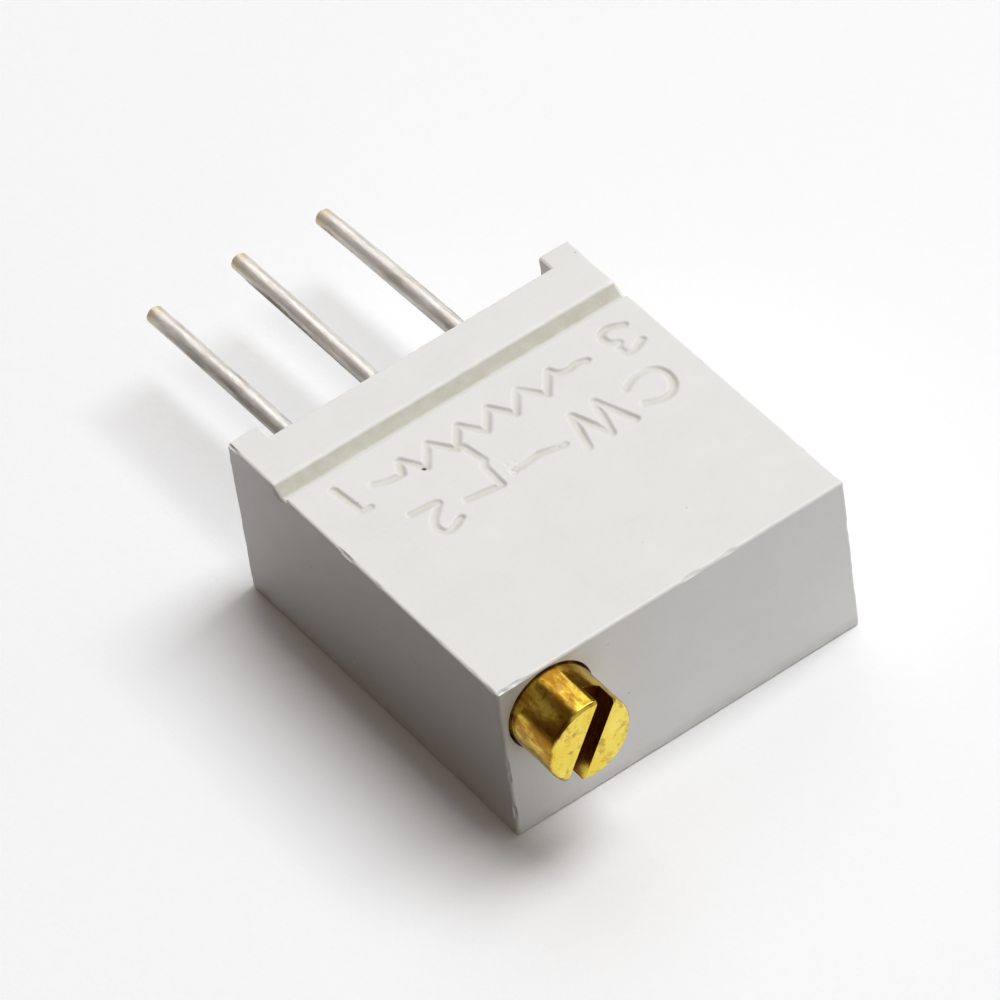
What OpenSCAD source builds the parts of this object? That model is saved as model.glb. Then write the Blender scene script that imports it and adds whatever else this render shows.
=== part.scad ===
// Multi-turn trimmer potentiometer, lying on its back face. Sizes in mm.
// +Z points out of the marked face, the back face is on Z = 0.
// The screw end is at -Y and the terminals leave towards +Y.
// The origin is the centre of the back face.

/* [Housing] */
// Width across the body, along X
body_w = 10; // [9.8:0.05:10.4]
// Length from the screw face to the rear face, along Y
body_len = 10.2; // [10.1:0.05:10.7]
// Height of the marked face above the back face
body_t = 4.8; // [4.75:0.05:5.1]
// Chamfer along the outer edges
edge_cut = 0.06; // [0.03:0.01:0.08]
// Width of each standoff foot, along X
foot_w = 0.9; // [0.6:0.05:1.2]
// Length of the standoff feet past the rear face
foot_len = 0.5; // [0.3:0.05:0.8]
// Length of the raised rail behind the marked face
rail_len = 1.35; // [1.1:0.05:1.5]
// Height of the rail above the marked face
rail_rise = 0.08; // [0.04:0.01:0.15]
// Run of the ramp in front of the rail
ramp_run = 0.32; // [0.2:0.02:0.4]
// Depth of the groove at the foot of the ramp
groove_depth = 0.15; // [0.08:0.01:0.2]
// Width of the groove floor
groove_w = 0.2; // [0.1:0.02:0.3]
// Walls beside and behind the element
side_wall = 0.8; // [0.7:0.05:0.9]
// Wall in front of the element
front_wall = 0.9; // [0.8:0.05:1.1]
// Wall between the screw bore and the element
bore_floor = 0.14; // [0.1:0.01:0.16]
// Wall behind the rear bearing of the screw
bearing_wall = 0.35; // [0.25:0.05:0.4]

/* [Adjusting screw] */
// Screw axis below the marked face
screw_drop = 1.3; // [1.29:0.01:1.4]
// Diameter of the screw head
head_d = 2.28; // [2.2:0.02:2.3]
// Length of the head outside the housing
head_out = 1.55; // [1.2:0.05:1.8]
// Chamfer round the rim of the head
head_cut = 0.08; // [0.04:0.01:0.12]
// Width of the driver slot
slot_w = 0.5; // [0.4:0.02:0.6]
// Depth of the driver slot
slot_depth = 0.6; // [0.4:0.05:0.8]
// Lean of the slot from upright at rest
slot_angle = 30; // [0:5:90]
// Diameter of the neck that carries the sealing ring
neck_d = 1.4; // [1.3:0.02:1.5]
// Length of the neck
neck_len = 0.6; // [0.55:0.05:0.7]
// Length of the collar behind the neck
collar_len = 0.3; // [0.2:0.05:0.35]
// Diameter of the lands beside the clip groove
land_d = 1.8; // [1.7:0.02:1.84]
// Length of each land
land_len = 0.18; // [0.12:0.02:0.22]
// Diameter of the clip groove
clip_neck_d = 1.2; // [1.1:0.02:1.3]
// Thickness of the retaining clip
clip_t = 0.3; // [0.24:0.02:0.34]
// Reach of the clip past the worm channel on the left
clip_grip = 0.12; // [0.08:0.01:0.14]
// Reach of the clip past the worm channel on the right
clip_tail = 0.38; // [0.2:0.02:0.5]
// Height of the clip's legs above the screw axis
clip_rise = 0.6; // [0.4:0.05:0.8]
// Plain core between the rear land and the thread
core_gap = 0.47; // [0.42:0.01:0.5]
// Diameter of the rear journal
journal_d = 1; // [0.9:0.02:1.06]

/* [Worm drive] */
// Axial pitch of the worm thread
worm_pitch = 0.6; // [0.585:0.005:0.605]
// Pitch radius of the worm
worm_r = 0.75; // [0.73:0.01:0.76]
// Turns of the worm thread
worm_turns = 9; // [7:1:9]
// Height of thread and teeth above their pitch line
tooth_rise = 0.17; // [0.15:0.005:0.175]
// Depth of thread and teeth below their pitch line
tooth_root = 0.2; // [0.19:0.005:0.22]
// Flank angle of thread and teeth
flank = 20; // [16:1:22]
// Play between thread and teeth
mesh_play = 0.05; // [0.04:0.005:0.07]
// Number of teeth on the drive gear
gear_teeth = 32; // [31:1:32]
// Thickness of the drive gear
gear_t = 1; // [0.9:0.02:1.04]
// Gear axis to the right of the body's middle
gear_shift = 0.186; // [0.12:0.002:0.2]
// Gear axis ahead of the rear face
gear_back = 4.7; // [4.65:0.05:4.8]
// Diameter of the rotor hub inside the gear
hub_d = 4.4; // [4.2:0.05:4.6]
// Diameter of the thrust boss on the hub
boss_d = 2.4; // [2:0.1:3]
// Height of the thrust boss
boss_h = 0.17; // [0.12:0.01:0.2]
// Diameter of the pivot post
post_d = 1.2; // [1.1:0.02:1.3]
// Length of the post below the hub
post_end = 0.12; // [0.06:0.02:0.2]
// Radius of the clutch pawls and notches
pawl_r = 0.14; // [0.1:0.01:0.16]
// Number of clutch notches
notch_count = 12; // [8:2:16]
// Screw turns from end to end
screw_turns = 25; // [22:1:26]

/* [Terminals] */
// Distance from terminal to terminal
pitch = 2.54; // [2.5:0.01:2.58]
// Diameter of each terminal outside the body
pin_d = 0.5; // [0.46:0.01:0.52]
// Side of the squared inner end of each terminal
pin_flat = 0.44; // [0.4:0.01:0.46]
// Squared length of each terminal behind the rear face
pin_root = 0.1; // [0.06:0.02:0.2]
// Length of the terminals past the feet
pin_len = 7.1; // [3:0.1:9]
// Height of the terminal axes above the back face
pin_h = 2.4; // [2.35:0.01:2.45]
// Chamfer at the terminals' tips
pin_cut = 0.08; // [0.04:0.01:0.12]
// Length of each terminal in front of the rear wall
pin_in = 0.85; // [0.75:0.05:0.9]

/* [Element] */
// Thickness of the ceramic plate
plate_t = 0.62; // [0.5:0.02:0.7]
// Thickness of the printed layers
print_t = 0.03; // [0.02:0.005:0.04]
// Middle radius of the resistive track
track_r = 2.4; // [2.36:0.02:2.42]
// Width of the resistive track
track_w = 0.6; // [0.4:0.02:0.64]
// Middle radius of the collector ring
ring_r = 1.25; // [1.2:0.02:1.3]
// Width of the collector ring and its lead
ring_w = 0.6; // [0.4:0.02:0.64]
// Width of each terminal pad
pad_w = 0.9; // [0.7:0.05:1]
// Length of each pad ahead of its terminal's end
pad_ahead = 0.3; // [0.2:0.02:0.32]
// Length of each pad under its terminal
pad_under = 0.65; // [0.5:0.05:0.7]
// Radius of the solder fillets
solder_r = 0.44; // [0.36:0.02:0.46]
// Middle of each fillet behind its terminal's end
solder_shift = 0.12; // [0.08:0.02:0.2]

/* [Wiper] */
// Thickness of the contact spring
spring_t = 0.08; // [0.06:0.01:0.1]
// Diameter of the spring's plate
spring_d = 4; // [3.8:0.05:4.1]
// Diameter of the hole in the plate
spring_hole_d = 1.56; // [1.5:0.02:1.7]
// Width of each finger
finger_w = 0.2; // [0.16:0.01:0.22]
// Gap between fingers
finger_gap = 0.07; // [0.05:0.01:0.09]
// Length of the turned-up finger tips
tip_len = 0.12; // [0.08:0.01:0.14]
// Diameter of the stakes through the plate
stake_d = 0.32; // [0.28:0.02:0.36]
// Diameter of the stakes' heads
stake_head_d = 0.5; // [0.44:0.02:0.56]
// Height of the stakes' heads
stake_head_h = 0.1; // [0.06:0.02:0.12]
// Distance of the stakes from the axis
stake_at = 1.45; // [1.35:0.05:1.55]

/* [Clearances] */
// Radial gap between the screw head and its bore
bore_gap = 0.06; // [0.04:0.01:0.06]
// Radial gap between the worm and its channel
channel_gap = 0.08; // [0.05:0.01:0.1]
// Radial gap of the pivot and of the rear bearing
pivot_gap = 0.03; // [0.02:0.01:0.05]
// Gap where one piece runs past another
run_gap = 0.03; // [0.02:0.005:0.04]
// Gap round a piece that is dropped into a pocket
drop_gap = 0.05; // [0.03:0.01:0.08]
// Gap behind the journal's end and round the clip in its groove
end_gap = 0.06; // [0.04:0.01:0.08]
// Room round the gear
gear_gap = 0.25; // [0.15:0.05:0.3]
// Room above and beside the soldered terminals
solder_gap = 0.1; // [0.06:0.02:0.14]
// Lift of the finger tips over the printed layers
contact_lift = 0.02; // [0.01:0.005:0.03]

/* [Hidden] */
$fn = 64;
// Overlap of pieces of one solid, and overrun of cuts
eps = 0.05;
half_w = body_w / 2;
front_y = -body_len / 2;
rear_y = body_len / 2;
seat_y = rear_y + foot_len;
top_z = body_t + rail_rise;

// Rail, ramp and groove, measured from the rear face
rail_y = rear_y - rail_len;
ramp_y = rail_y - ramp_run;
groove_y = ramp_y - groove_w;
groove_z = body_t - groove_depth;

// Screw radii
head_r = head_d / 2;
bore_r = head_r + bore_gap;
neck_r = neck_d / 2;
land_r = land_d / 2;
clip_neck_r = clip_neck_d / 2;
journal_r = journal_d / 2;

// Worm and gear, with the screw where its worm meets the gear
gear_r = gear_teeth * worm_pitch / (2 * PI);
gear_x = gear_shift;
gear_y = rear_y - gear_back;
screw_x = gear_x - gear_r - worm_r;
screw_z = body_t - screw_drop;
worm_tip_r = worm_r + tooth_rise;
worm_core_r = worm_r - tooth_root;
channel_r = worm_tip_r + channel_gap;
gear_tip_r = gear_r + tooth_rise;
gear_root_r = gear_r - tooth_root - run_gap;
tooth_half = (worm_pitch - mesh_play) / 4;
thread_in_r = worm_core_r - eps;
thread_in_half = tooth_half + (worm_r - thread_in_r) * tan(flank);
rim_half = tooth_half - tooth_rise * tan(flank);
gear_root_half = tooth_half + tooth_root * tan(flank);
lead = atan(worm_pitch / (2 * PI * worm_r));
worm_len = worm_turns * worm_pitch;
worm_y = gear_y - worm_len / 2;

// Thread steps a turn and in all, and steps of each run-out
seg = 16;
steps = seg * worm_turns;
fade_steps = 10;
// The gear tooth that faces the worm sits in a space of the thread at rest
thread_start = 270 - 180 * worm_turns;

// Screw stations along Y: from the worm out to the head, then the rear bearing
land_end_y = worm_y - core_gap;
clip_groove_end_y = land_end_y - land_len;
clip_y = clip_groove_end_y - end_gap - clip_t;
clip_groove_y = clip_y - end_gap;
land_y = clip_groove_y - land_len;
bore_end_y = land_y + run_gap;
collar_y = land_y - collar_len;
neck_y = collar_y - neck_len;
head_y = front_y - head_out;
worm_end_y = worm_y + worm_len + thread_in_half + run_gap;
channel_end_y = worm_end_y + run_gap;
bearing_end_y = rear_y - bearing_wall;
journal_end_y = bearing_end_y - end_gap;

// Clip outline
clip_left = channel_r + clip_grip;
clip_right = channel_r + clip_tail;
clip_top_z = screw_z + clip_rise;
clip_throat = clip_neck_r + run_gap;

// Rotor levels and radii
gear_bot_z = screw_z - gear_t / 2;
gear_top_z = screw_z + gear_t / 2;
ceiling_z = gear_top_z + boss_h + run_gap;
post_r = post_d / 2;
hub_r = hub_d / 2;
cavity_r = gear_tip_r + gear_gap;

// Levels of the element, under the terminals and clear of the screw bore
pin_r = pin_d / 2;
pin_low_z = pin_h - pin_flat / 2;
pin_top_z = pin_h + pin_flat / 2;
print_z = min(pin_low_z, screw_z - bore_r - bore_floor + print_t);
plate_z = print_z - print_t;
seal_z = plate_z - plate_t;
tab_top_z = print_z < pin_low_z ? print_z + pin_flat : pin_top_z;
room_z = print_z + max(solder_r, pin_flat) + solder_gap;

// Pocket of the element, and the terminals' inner ends
pocket_x = half_w - side_wall;
pocket_y = front_y + front_wall;
pocket_end_y = rear_y - side_wall;
pin_y = pocket_end_y - pin_in;
pad_y = pin_y - pad_ahead;
solder_y = pin_y + solder_shift;
room_x = pitch + solder_r + solder_gap;
room_y = pad_y - solder_gap;
slit_half = pin_flat / 2 + run_gap;
wire_y = rear_y + pin_root;
pin_end_y = seat_y + pin_len;

// The track is open towards the terminals
turn_half = 180 * screw_turns / gear_teeth;
gap_half = 180 - turn_half;
sector_r = 2 * track_r;

// Spring levels: middle of the plate, and middle of the strip at its contact
spring_r = spring_d / 2;
spring_z = gear_bot_z - spring_t / 2;
contact_z = print_z + contact_lift + spring_t / 2;
finger_step = finger_w + finger_gap;

// One point of the helical thread: step i, corner k of its section
function fade(i) = min(1, i / fade_steps, (steps - i) / fade_steps);
function rim_r(i) = thread_in_r + eps / 2 + (worm_tip_r - thread_in_r - eps / 2) * fade(i);
function corner_r(i, k) = (k == 0 || k == 3) ? thread_in_r : rim_r(i);
function corner_half(k) = (k == 0 || k == 3) ? thread_in_half : rim_half;
function corner_y(i, k) = worm_pitch * i / seg + (k < 2 ? -1 : 1) * corner_half(k);
function corner_turn(i) = thread_start + 360 * i / seg;
function thread_point(i, k) = [
    corner_r(i, k) * sin(corner_turn(i)),
    corner_y(i, k),
    corner_r(i, k) * cos(corner_turn(i))
];

// Outline of a strip of thickness t along a line of points
function step_of(p, i) = p[min(i + 1, len(p) - 1)] - p[max(i - 1, 0)];
function side_of(p, i) = let (d = step_of(p, i)) [-d[1], d[0]] / norm(d);
function strip(p, t) = concat(
    [for (i = [0 : len(p) - 1]) p[i] + side_of(p, i) * t / 2],
    [for (i = [len(p) - 1 : -1 : 0]) p[i] - side_of(p, i) * t / 2]
);

// Prism along Y from a section drawn in X and Z
module along_y(y0, y1) {
    translate([0, y1, 0])
        rotate([90, 0, 0])
            linear_extrude(y1 - y0)
                children();
}

// Prism across the width from a section drawn in Y and Z
module across_x(w) {
    translate([-w / 2, 0, 0])
        rotate([90, 0, 90])
            linear_extrude(w)
                children();
}

// Cylinder along Y
module rod(r, x, z, y0, y1) {
    translate([x, y1, z])
        rotate([90, 0, 0])
            cylinder(r = r, h = y1 - y0);
}

// Shape turned about an axis along Y, drawn as radius and distance along Y
module turned(x, z) {
    translate([x, 0, z])
        rotate([-90, 0, 0])
            rotate_extrude()
                children();
}

// Housing seen from above, with the standoff feet
module plan_outline() {
    polygon([
        [-half_w + edge_cut, front_y], [half_w - edge_cut, front_y],
        [half_w, front_y + edge_cut], [half_w, seat_y - edge_cut],
        [half_w - edge_cut, seat_y], [half_w - foot_w, seat_y],
        [half_w - foot_w, rear_y], [-half_w + foot_w, rear_y],
        [-half_w + foot_w, seat_y], [-half_w + edge_cut, seat_y],
        [-half_w, seat_y - edge_cut], [-half_w, front_y + edge_cut]
    ]);
}

// Housing seen from the side, with the groove, ramp and rail
module side_outline() {
    polygon([
        [front_y + edge_cut, 0], [seat_y - edge_cut, 0],
        [seat_y, edge_cut], [seat_y, top_z - edge_cut],
        [seat_y - edge_cut, top_z], [rail_y, top_z],
        [ramp_y, groove_z], [groove_y, groove_z],
        [groove_y, body_t], [front_y + edge_cut, body_t],
        [front_y, body_t - edge_cut], [front_y, edge_cut]
    ]);
}

// Housing seen from the end, up to height h
module end_outline(h) {
    polygon([
        [-half_w + edge_cut, 0], [half_w - edge_cut, 0],
        [half_w, edge_cut], [half_w, h - edge_cut],
        [half_w - edge_cut, h], [-half_w + edge_cut, h],
        [-half_w, h - edge_cut], [-half_w, edge_cut]
    ]);
}

module housing_outside() {
    intersection() {
        linear_extrude(top_z)
            plan_outline();
        across_x(body_w)
            side_outline();
        union() {
            along_y(front_y, seat_y)
                end_outline(body_t);
            along_y(groove_y, seat_y)
                end_outline(top_z);
        }
    }
}

// Slit that lets one terminal in from the back
module slit(x) {
    translate([x - slit_half, pocket_end_y - eps, -eps])
        cube([2 * slit_half, side_wall + 2 * eps, pin_top_z + run_gap + eps]);
}

module housing() {
    color("gainsboro")
    union() {
        difference() {
            housing_outside();
            // Screw bore, worm channel and rear bearing
            rod(bore_r, screw_x, screw_z, front_y - eps, bore_end_y);
            rod(channel_r, screw_x, screw_z, bore_end_y - eps, channel_end_y);
            rod(journal_r + pivot_gap, screw_x, screw_z, worm_end_y, bearing_end_y);
            // Slot for the retaining clip
            along_y(clip_y, clip_y + clip_t)
                translate([screw_x - clip_left, plate_z - eps])
                    square([clip_left + clip_right, clip_top_z + run_gap - plate_z + eps]);
            // Room for the gear and for the soldered terminals
            translate([gear_x, gear_y, plate_z - eps])
                cylinder(r = cavity_r, h = ceiling_z - plate_z + eps);
            translate([-room_x, room_y, plate_z - eps])
                cube([2 * room_x, pocket_end_y - room_y, room_z - plate_z + eps]);
            // Pocket for the element, open at the back
            translate([-pocket_x, pocket_y, -eps])
                cube([2 * pocket_x, pocket_end_y - pocket_y, plate_z + eps]);
            for (i = [-1, 0, 1])
                slit(i * pitch);
        }
        // Pivot post under the marked wall
        translate([gear_x, gear_y, gear_bot_z - post_end])
            cylinder(r = post_r, h = ceiling_z - gear_bot_z + post_end + eps);
    }
}

// Helical thread: a four-cornered section carried round step by step
module worm_thread() {
    polyhedron(
        points = [for (i = [0 : steps]) for (k = [0 : 3]) thread_point(i, k)],
        faces = concat(
            [[3, 2, 1, 0]],
            [for (i = [0 : steps - 1]) for (k = [0 : 3])
                [4 * i + k, 4 * i + (k + 1) % 4, 4 * i + 4 + (k + 1) % 4]],
            [for (i = [0 : steps - 1]) for (k = [0 : 3])
                [4 * i + k, 4 * i + 4 + (k + 1) % 4, 4 * i + 4 + k]],
            [[4 * steps, 4 * steps + 1, 4 * steps + 2, 4 * steps + 3]]
        )
    );
}

module adjustment_screw() {
    color("goldenrod")
    difference() {
        union() {
            turned(screw_x, screw_z)
                polygon([
                    [0, head_y], [head_r - head_cut, head_y],
                    [head_r, head_y + head_cut], [head_r, neck_y],
                    [neck_r, neck_y], [neck_r, collar_y],
                    [head_r, collar_y], [head_r, land_y],
                    [land_r, land_y], [land_r, clip_groove_y],
                    [clip_neck_r, clip_groove_y], [clip_neck_r, clip_groove_end_y],
                    [land_r, clip_groove_end_y], [land_r, land_end_y],
                    [worm_core_r, land_end_y], [worm_core_r, worm_end_y],
                    [journal_r, worm_end_y], [journal_r, journal_end_y],
                    [0, journal_end_y]
                ]);
            translate([screw_x, worm_y, screw_z])
                worm_thread();
        }
        // Driver slot across the head
        translate([screw_x, head_y + (slot_depth - eps) / 2, screw_z])
            rotate([0, slot_angle, 0])
                cube([slot_w, slot_depth + eps, 2 * head_d], center = true);
    }
}

module o_ring() {
    color("black")
    translate([screw_x, (neck_y + collar_y) / 2, screw_z])
        rotate([90, 0, 0])
            rotate_extrude()
                translate([(neck_r + bore_r - run_gap) / 2, 0])
                    circle(r = (bore_r - run_gap - neck_r) / 2);
}

module screw_retainer() {
    color("silver")
    along_y(clip_y, clip_y + clip_t)
        difference() {
            translate([screw_x - clip_left + run_gap, plate_z])
                square([clip_left + clip_right - 2 * run_gap, clip_top_z - plate_z]);
            translate([screw_x, screw_z])
                circle(r = clip_throat);
            translate([screw_x - clip_throat, screw_z])
                square([2 * clip_throat, clip_rise + eps]);
        }
}

// Gear tooth on the +X side, leaning with the thread
module gear_tooth() {
    rotate([-lead, 0, 0])
        linear_extrude(2 * gear_t, center = true)
            polygon([
                [gear_root_r - eps, -gear_root_half], [gear_root_r, -gear_root_half],
                [gear_tip_r, -rim_half], [gear_tip_r, rim_half],
                [gear_root_r, gear_root_half], [gear_root_r - eps, gear_root_half]
            ]);
}

module drive_gear() {
    color("ivory")
    translate([gear_x, gear_y, screw_z])
        difference() {
            intersection() {
                union() {
                    cylinder(r = gear_root_r, h = gear_t, center = true);
                    for (i = [0 : gear_teeth - 1])
                        rotate([0, 0, 180 + 360 * i / gear_teeth])
                            gear_tooth();
                }
                cylinder(r = cavity_r, h = gear_t, center = true);
            }
            cylinder(r = hub_r, h = 2 * gear_t, center = true);
            // Notches of the slipping clutch
            for (i = [0 : notch_count - 1])
                rotate([0, 0, 360 * i / notch_count])
                    translate([hub_r, 0, 0])
                        cylinder(r = pawl_r, h = 2 * gear_t, center = true);
        }
}

module rotor_hub() {
    stake_h = spring_t + stake_head_h;
    color("wheat")
    translate([gear_x, gear_y, gear_bot_z])
        difference() {
            union() {
                cylinder(r = hub_r, h = gear_t);
                cylinder(r = boss_d / 2, h = gear_t + boss_h);
                for (a = [0, 180])
                    rotate([0, 0, a]) {
                        // Pawl that sits in a notch of the gear
                        translate([hub_r, 0, 0])
                            cylinder(r = pawl_r, h = gear_t);
                        // Stake that holds the spring
                        translate([stake_at, 0, -stake_h]) {
                            cylinder(r = stake_d / 2, h = stake_h + eps);
                            cylinder(r = stake_head_d / 2, h = stake_head_h);
                        }
                    }
            }
            translate([0, 0, -gear_t])
                cylinder(r = post_r + pivot_gap, h = 3 * gear_t);
        }
}

// Bent finger: a line in radius and height, made a strip of the finger's width
module finger(line, side) {
    translate([0, side + finger_w / 2, 0])
        rotate([90, 0, 0])
            linear_extrude(finger_w)
                polygon(strip(line, spring_t));
}

// Line of a finger from the plate at radius r0 down to its contact at radius r1
function finger_line(r0, r1, way) = [
    [r0, spring_z],
    [r0 + way * spring_t * 2, spring_z],
    [r1 - way * tip_len, contact_z + spring_t],
    [r1, contact_z],
    [r1 + way * tip_len, contact_z + spring_t]
];

module wiper_contact() {
    window_w = 3 * finger_step;
    color("peru")
    translate([gear_x, gear_y, 0])
        rotate([0, 0, -90])
            union() {
                difference() {
                    translate([0, 0, gear_bot_z - spring_t])
                        cylinder(r = spring_r, h = spring_t);
                    translate([0, 0, gear_bot_z - gear_t])
                        cylinder(r = spring_hole_d / 2, h = 2 * gear_t);
                    for (a = [90, 270])
                        rotate([0, 0, a])
                            translate([stake_at, 0, gear_bot_z - gear_t])
                                cylinder(r = stake_d / 2, h = 2 * gear_t);
                    // Window that the collector fingers are bent out of
                    translate([-spring_r + 3 * spring_t, -window_w / 2, gear_bot_z - gear_t])
                        cube([spring_r - 3 * spring_t, window_w, 2 * gear_t]);
                }
                // Fingers on the track
                for (i = [-1, 0, 1])
                    finger(finger_line(spring_r - 2 * spring_t, track_r, 1), i * finger_step);
                // Fingers on the collector
                for (i = [-0.5, 0.5])
                    finger(finger_line(-spring_r + 2 * spring_t, -ring_r, 1), i * finger_step);
            }
}

module ceramic_substrate() {
    color("white")
    translate([-pocket_x + drop_gap, pocket_y + drop_gap, seal_z])
        cube([
            2 * (pocket_x - drop_gap),
            pocket_end_y - pocket_y - 2 * drop_gap,
            plate_t
        ]);
}

// Printed layer on the plate
module print_layer() {
    translate([0, 0, plate_z])
        linear_extrude(print_t)
            children();
}

module resistive_track() {
    color("dimgray")
    print_layer()
        translate([gear_x, gear_y])
            difference() {
                circle(r = track_r + track_w / 2);
                circle(r = track_r - track_w / 2);
                // Opening between the ends of the track
                polygon([
                    [0, 0],
                    [sector_r * sin(gap_half), sector_r * cos(gap_half)],
                    [0, 2 * sector_r],
                    [-sector_r * sin(gap_half), sector_r * cos(gap_half)]
                ]);
            }
}

module collector_ring() {
    color("silver")
    print_layer()
        difference() {
            union() {
                translate([gear_x, gear_y])
                    circle(r = ring_r + ring_w / 2);
                // Lead through the opening of the track
                translate([-ring_w / 2, gear_y + ring_r])
                    square([ring_w, pad_y - gear_y - ring_r]);
            }
            translate([gear_x, gear_y])
                circle(r = ring_r - ring_w / 2);
        }
}

// Pad under the terminal at x
module pad(x) {
    translate([x - pad_w / 2, pad_y])
        square([pad_w, pad_ahead + pad_under]);
}

// Lead from an end of the track to the pad of an outer terminal
module end_lead(s) {
    r_in = track_r - track_w / 2;
    r_out = track_r + track_w / 2;
    polygon(
        points = [
            [gear_x + s * r_in * sin(gap_half), gear_y + r_in * cos(gap_half)],
            [gear_x + s * r_out * sin(gap_half), gear_y + r_out * cos(gap_half)],
            [s * (pitch + pad_w / 2), pad_y + eps],
            [s * (pitch - pad_w / 2), pad_y + eps]
        ],
        paths = [s > 0 ? [0, 1, 2, 3] : [3, 2, 1, 0]]
    );
}

module conductor_pad_1() {
    color("silver")
    print_layer() {
        pad(-pitch);
        end_lead(-1);
    }
}

module conductor_pad_2() {
    color("silver")
    print_layer()
        pad(0);
}

module conductor_pad_3() {
    color("silver")
    print_layer() {
        pad(pitch);
        end_lead(1);
    }
}

// Squared bar of a terminal from y0 to y1, up to height z1
module pin_bar(x, y0, y1, z1) {
    translate([x - pin_flat / 2, y0, print_z])
        cube([pin_flat, y1 - y0, z1 - print_z]);
}

// Terminal: a tab on its pad, a shank through the wall, then round wire
module terminal(x) {
    color("lightsteelblue")
    union() {
        pin_bar(x, pin_y, pocket_end_y, tab_top_z);
        pin_bar(x, pocket_end_y - eps, wire_y, pin_top_z);
        turned(x, pin_h)
            polygon([
                [0, wire_y - eps], [pin_flat / 4, wire_y - eps],
                [pin_flat / 4, wire_y], [pin_r, wire_y],
                [pin_r, pin_end_y - pin_cut],
                [pin_r - pin_cut, pin_end_y], [0, pin_end_y]
            ]);
    }
}

module terminal_pin_1() {
    terminal(-pitch);
}

module terminal_pin_2() {
    terminal(0);
}

module terminal_pin_3() {
    terminal(pitch);
}

// Solder fillet between a terminal's inner end and its pad
module solder(x) {
    color("lightgray")
    difference() {
        translate([x, solder_y, print_z])
            intersection() {
                sphere(r = solder_r);
                translate([-solder_r, -solder_r, 0])
                    cube(2 * solder_r);
            }
        translate([0, 0, -eps])
            pin_bar(x, pin_y, rear_y, tab_top_z + eps);
    }
}

module solder_joint_1() {
    solder(-pitch);
}

module solder_joint_2() {
    solder(0);
}

module solder_joint_3() {
    solder(pitch);
}

module back_seal() {
    color("darkkhaki")
    union() {
        translate([-pocket_x, pocket_y, 0])
            cube([2 * pocket_x, pocket_end_y - pocket_y, seal_z]);
        // Tongues that close the slits under the terminals
        for (i = [-1, 0, 1])
            translate([i * pitch - slit_half, pocket_end_y - drop_gap, 0])
                cube([2 * slit_half, side_wall + drop_gap, print_z]);
    }
}

housing();
adjustment_screw();
o_ring();
screw_retainer();
drive_gear();
rotor_hub();
wiper_contact();
ceramic_substrate();
resistive_track();
collector_ring();
conductor_pad_1();
conductor_pad_2();
conductor_pad_3();
terminal_pin_1();
terminal_pin_2();
terminal_pin_3();
solder_joint_1();
solder_joint_2();
solder_joint_3();
back_seal();
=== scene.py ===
"""Looks of a multi-turn trimmer potentiometer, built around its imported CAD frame."""

import math

import bmesh
import bpy
import numpy as np
from mathutils import Matrix, Vector, noise


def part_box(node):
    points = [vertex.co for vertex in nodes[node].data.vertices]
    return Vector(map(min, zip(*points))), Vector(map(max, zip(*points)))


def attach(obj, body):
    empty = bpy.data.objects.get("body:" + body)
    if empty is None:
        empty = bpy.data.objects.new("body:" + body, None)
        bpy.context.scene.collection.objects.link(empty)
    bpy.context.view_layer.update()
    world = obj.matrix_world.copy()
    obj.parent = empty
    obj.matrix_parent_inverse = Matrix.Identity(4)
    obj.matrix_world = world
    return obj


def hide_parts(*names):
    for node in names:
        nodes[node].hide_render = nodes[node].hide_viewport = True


MM = 0.001
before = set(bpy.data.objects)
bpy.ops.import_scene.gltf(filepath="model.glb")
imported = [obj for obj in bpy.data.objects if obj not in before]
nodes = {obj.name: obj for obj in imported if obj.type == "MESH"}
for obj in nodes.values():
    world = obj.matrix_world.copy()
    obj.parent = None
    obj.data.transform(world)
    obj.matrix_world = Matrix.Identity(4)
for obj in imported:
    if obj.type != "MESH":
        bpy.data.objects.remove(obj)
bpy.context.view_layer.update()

# Camera of the photograph: direction, roll, focal length in image widths and the point it looks at
CAMERA_AZIMUTH = -30.07
CAMERA_ELEVATION = 45.505
CAMERA_ROLL = -8.79
CAMERA_FOCAL = 8.6832
CAMERA_DISTANCE = 203.0 * MM
CAMERA_TARGET = Vector((-0.459, 1.226, 3.132)) * MM
CAMERA_NEAR = 0.01
CAMERA_FAR = 10.0
SENSOR = 36.0

# White card under the part: its size, the gap below the part, and its colours as the camera sees them
FLOOR_HALF = 0.6
FLOOR_CELLS = 24
FLOOR_GAP = 0.002 * MM
CARD_LOW = (0.92, 0.94, 0.965)
CARD_HIGH = (0.933, 0.953, 0.978)
CARD_GLITTER = (0.96, 0.98, 1.0)
# Its colours for light that it sends back up: in the open, and in a painted shade left of the part that
# darkens the housing's left side; and the edges of that painted shade zone
BOUNCE_OPEN = (0.9, 0.92, 0.945)
BOUNCE_PAINTED_SHADE = (0.05, 0.046, 0.042)
PAINTED_SHADE_ACROSS = (-4.8 * MM, -6.5 * MM)
PAINTED_SHADE_ALONG = (7.5 * MM, 2.5 * MM)

# Long lamp over the part: power, distance, direction, and the angles that its length and width cover
STRIP_WATTS = 2.8
STRIP_DISTANCE = 0.6
STRIP_TOWARD = Vector((0.45, -0.07, 1.0)).normalized()
STRIP_SPREAD = math.radians(39)
STRIP_NARROW = math.radians(24)
# Weak suns: strength, angle in degrees and direction
SUNS = {
    "fill": (0.55, 80, (0.55, -0.8, 0.6)),
    "rim": (0.7, 46, (0.33, 0.55, 0.76)),
    "back": (0.09, 50, (-0.5, 0.75, 0.45)),
}
WORLD_COLOUR = (1.0, 0.66, 0.42, 1.0)
WORLD_STRENGTH = 0.085
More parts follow.
